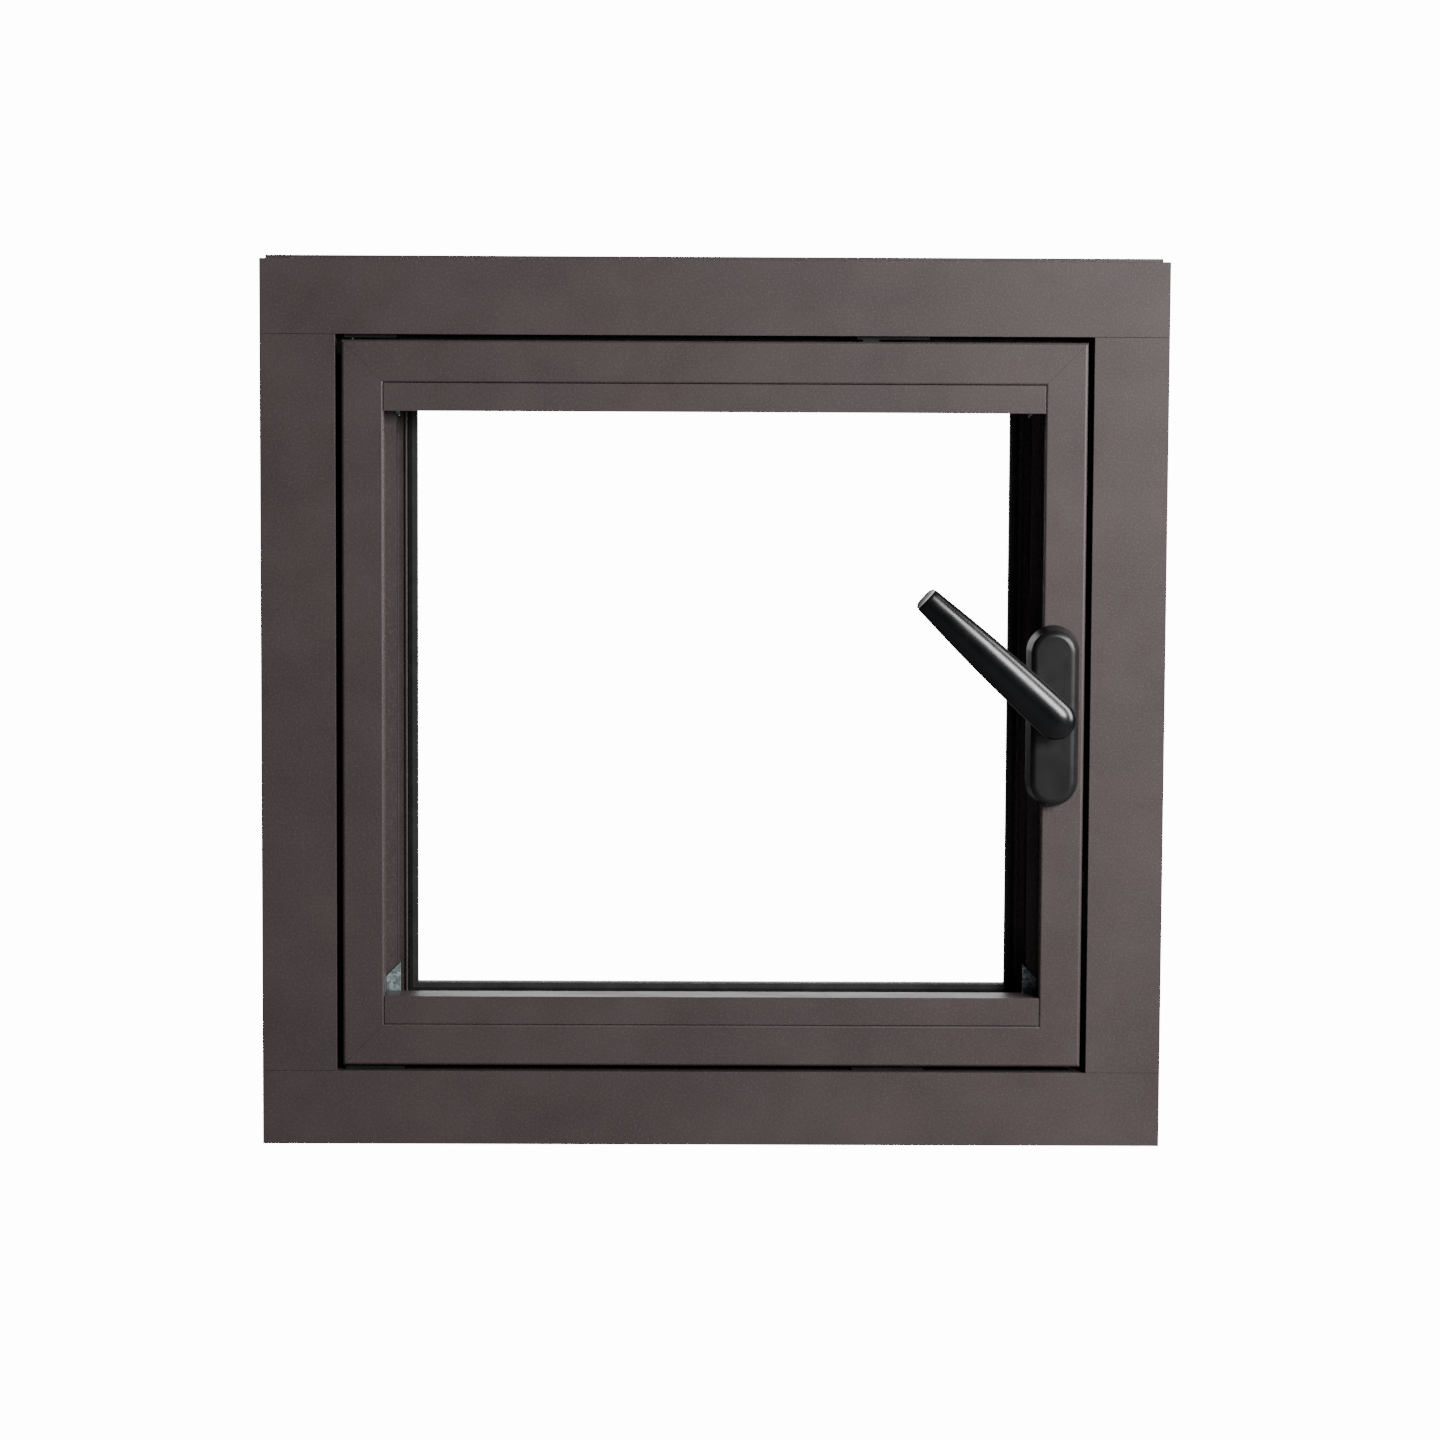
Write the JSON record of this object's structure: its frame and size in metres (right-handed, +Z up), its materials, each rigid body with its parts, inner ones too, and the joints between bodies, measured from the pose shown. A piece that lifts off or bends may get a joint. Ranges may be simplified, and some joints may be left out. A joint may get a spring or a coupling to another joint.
{
  "type": "casement window",
  "caption": "Inward-opening tilt-and-turn casement window: insulated aluminium frame, mitred sash, snap-in beads and a lever handle driving the locking rods.",
  "frame": {"origin": "underside of the sill, midway along it and midway through the frame's depth", "axes": "+X to the right seen from the room, +Y outdoors, +Z up"},
  "size_m": [0.7, 0.1213, 0.69],
  "materials": {
    "umber_powder_coat": "fine-textured satin powder coat",
    "black_polyamide": "glass-filled polyamide",
    "black_rubber": "matt rubber",
    "black_satin_paint": "satin black paint on die-cast metal",
    "grey_plastic": "moulded",
    "black_plastic": "moulded",
    "black_plated_casting": "black-coated zinc die casting",
    "zinc_casting": "raw zinc die casting",
    "galvanised_steel": "galvanised",
    "bright_steel": "zinc plated"
  },
  "bodies": {
    "frame": {"frame_head_inner": "umber_powder_coat", "frame_head_outer": "umber_powder_coat", "frame_head_strips": "black_polyamide", "frame_sill_inner": "umber_powder_coat", "frame_sill_outer": "umber_powder_coat", "frame_sill_strips": "black_polyamide", "jamb_left_inner": "umber_powder_coat", "jamb_left_outer": "umber_powder_coat", "jamb_left_strips": "black_polyamide", "jamb_right_inner": "umber_powder_coat", "jamb_right_outer": "umber_powder_coat", "jamb_right_strips": "black_polyamide", "frame_joint_blocks": "zinc_casting", "frame_joint_screws": "bright_steel", "drain_hoods": "black_plastic", "weather_seal": "black_rubber", "centre_seal": "black_rubber", "lower_keeper": "black_plated_casting", "upper_keeper": "black_plated_casting", "head_keeper": "black_plated_casting", "sill_keeper": "black_plated_casting", "keeper_screws": "bright_steel", "lower_pivot_bracket": "black_plated_casting", "upper_pivot_bracket": "black_plated_casting"},
    "lower_pivot": {"pivot_block": "bright_steel"},
    "sash": {"sash_bottom_inner": "umber_powder_coat", "sash_top_inner": "umber_powder_coat", "sash_left_inner": "umber_powder_coat", "sash_right_inner": "umber_powder_coat", "sash_bottom_outer": "umber_powder_coat", "sash_top_outer": "umber_powder_coat", "sash_left_outer": "umber_powder_coat", "sash_right_outer": "umber_powder_coat", "sash_edge_strips": "black_polyamide", "sash_rebate_strips": "black_polyamide", "sash_corner_cleats": "zinc_casting", "sash_corner_plates": "galvanised_steel", "bead_top": "umber_powder_coat", "bead_bottom": "umber_powder_coat", "bead_gaskets": "black_rubber", "glazing_gasket": "black_rubber", "corner_drives": "galvanised_steel", "sash_pivot_bearing": "bright_steel", "handle_base": "zinc_casting", "handle_cover": "black_satin_paint", "handle_screws": "bright_steel"},
    "handle": {"lever": "black_satin_paint", "lever_end_cap": "grey_plastic", "lever_collar": "black_satin_paint", "pinion": "bright_steel"},
    "lock_gear": {"lock_rod": "bright_steel", "lock_cams": "bright_steel", "drive_rack": "bright_steel"},
    "top_gear": {"top_rod": "bright_steel", "top_cam": "bright_steel"},
    "bottom_gear": {"bottom_rod": "bright_steel", "bottom_cam": "bright_steel"},
    "slider": {"stay_slider": "bright_steel"},
    "stay": {"stay_arm": "bright_steel"}
  },
  "joints": [
    {"name": "sash_tilt", "type": "hinge", "parent": "frame", "child": "lower_pivot", "pos_m": [-0.2795, -0.025, 0.0705], "axis": [1, 0, 0], "range_deg": [0, 8]},
    {"name": "sash_turn", "type": "hinge", "parent": "lower_pivot", "child": "sash", "pos_m": [-0.2795, -0.025, 0.0705], "axis": [0, 0, -1], "range_deg": [0, 90]},
    {"name": "handle_turn", "type": "hinge", "parent": "sash", "child": "handle", "pos_m": [0.2627, -0.035, 0.3406], "axis": [0, 1, 0], "range_deg": [-132.7, 47.3]},
    {"name": "lock_rod_slide", "type": "slide", "parent": "sash", "child": "lock_gear", "axis": [0, 0, 1], "range_m": [-0.0067, 0.0186]},
    {"name": "top_rod_slide", "type": "slide", "parent": "sash", "child": "top_gear", "axis": [1, 0, 0], "range_m": [-0.0186, 0.0067]},
    {"name": "bottom_rod_slide", "type": "slide", "parent": "sash", "child": "bottom_gear", "axis": [1, 0, 0], "range_m": [-0.0067, 0.0186]},
    {"name": "stay_slider_run", "type": "slide", "parent": "sash", "child": "slider", "axis": [1, 0, 0], "range_m": [-0.0112, 0]},
    {"name": "stay_swing", "type": "hinge", "parent": "slider", "child": "stay", "pos_m": [-0.0495, -0.0185, 0.6206], "axis": [0, 0, 1], "range_deg": [-19.8, 0]}
  ],
  "couplings": [
    {"joint": "lock_rod_slide", "follows": "handle_turn", "m_per_rad": -0.008},
    {"joint": "top_rod_slide", "follows": "handle_turn", "m_per_rad": 0.008},
    {"joint": "bottom_rod_slide", "follows": "handle_turn", "m_per_rad": -0.008},
    {"joint": "stay_slider_run", "follows": "sash_tilt", "m_per_rad": -0.079322},
    {"joint": "stay_swing", "follows": "sash_tilt", "ratio": -2.4428}
  ]
}
